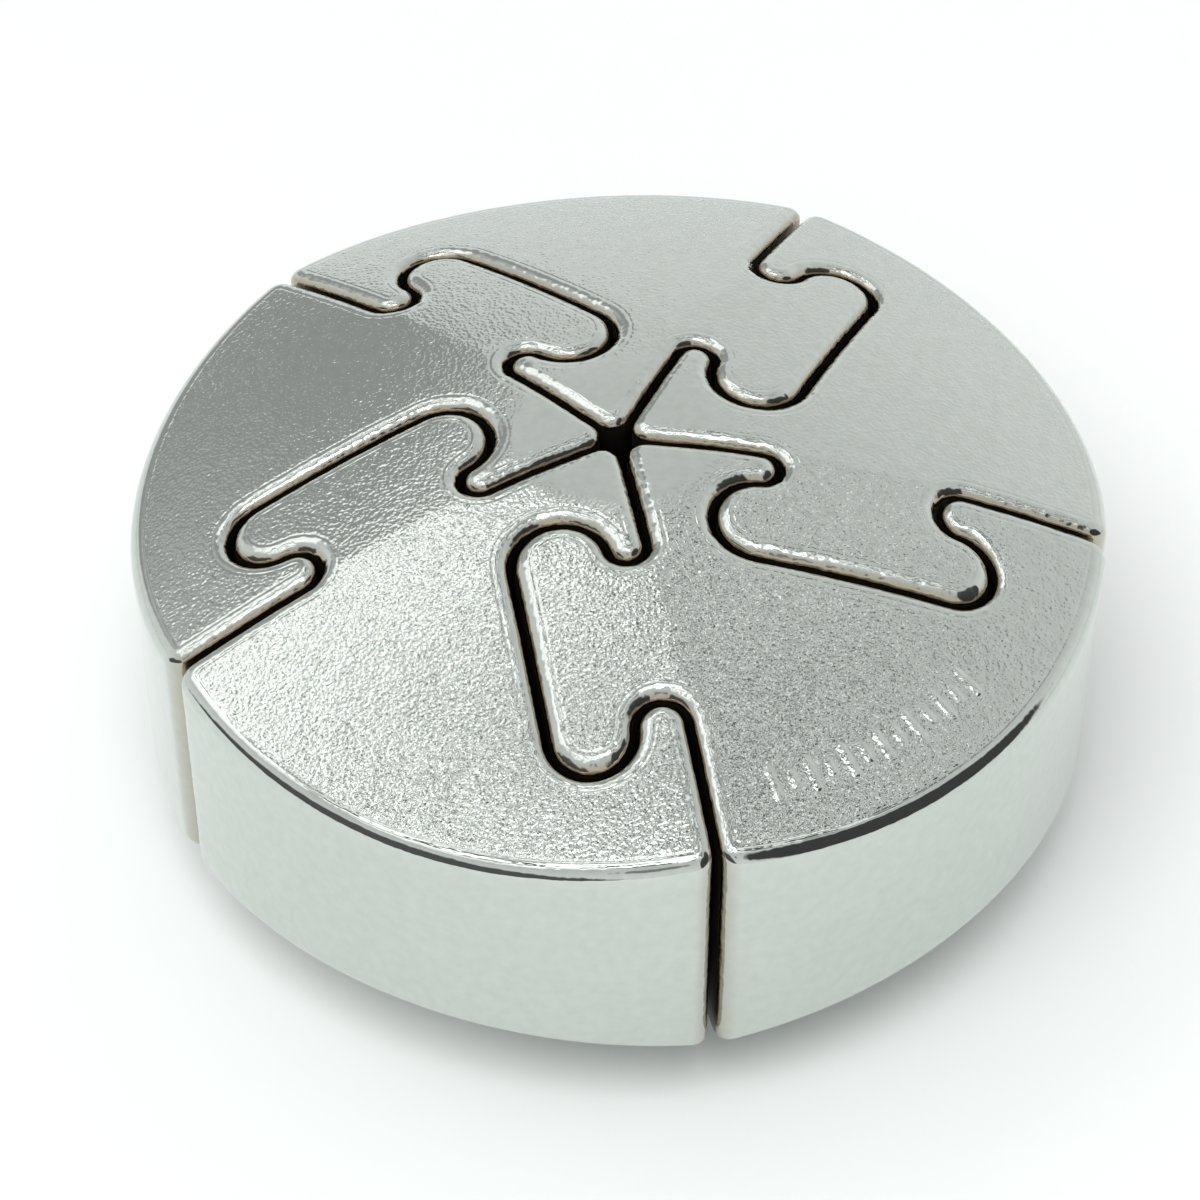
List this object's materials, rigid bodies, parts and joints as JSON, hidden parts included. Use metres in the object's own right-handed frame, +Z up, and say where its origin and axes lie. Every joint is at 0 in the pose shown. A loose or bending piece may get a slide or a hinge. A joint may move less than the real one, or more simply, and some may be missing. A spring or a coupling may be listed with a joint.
{
  "type": "interlocking metal disc puzzle",
  "caption": "Domed metal disc puzzle of interlocking cast segments; each tongue slides along the disc's axis in its neighbour's pocket.",
  "frame": {"origin": "the disc's axis at the plane of its lower central flat, on which it rests", "axes": "+Z up along the disc's axis; -Y outward along the joint between segment_5 and segment_1; segments are numbered counter-clockwise seen from +Z"},
  "size_m": [0.05, 0.05, 0.0229],
  "materials": {
    "nickel_casting": "bright nickel plating over a zinc die casting, pebbled on the faces and smooth on the side wall"
  },
  "bodies": {
    "segment_1": {"segment_1": "nickel_casting"},
    "segment_2": {"segment_2": "nickel_casting"},
    "segment_3": {"segment_3": "nickel_casting"},
    "segment_4": {"segment_4": "nickel_casting"},
    "segment_5": {"segment_5": "nickel_casting"}
  },
  "joints": [
    {"name": "slide_2_in_1", "type": "slide", "parent": "segment_1", "child": "segment_2", "axis": [0, 0, 1], "range_m": [0, 0.0045]},
    {"name": "slide_3_in_2", "type": "slide", "parent": "segment_2", "child": "segment_3", "axis": [0, 0, 1], "range_m": [0, 0.0045]},
    {"name": "slide_4_in_3", "type": "slide", "parent": "segment_3", "child": "segment_4", "axis": [0, 0, 1], "range_m": [0, 0.0045]},
    {"name": "slide_5_in_4", "type": "slide", "parent": "segment_4", "child": "segment_5", "axis": [0, 0, 1], "range_m": [0, 0.0045]}
  ]
}
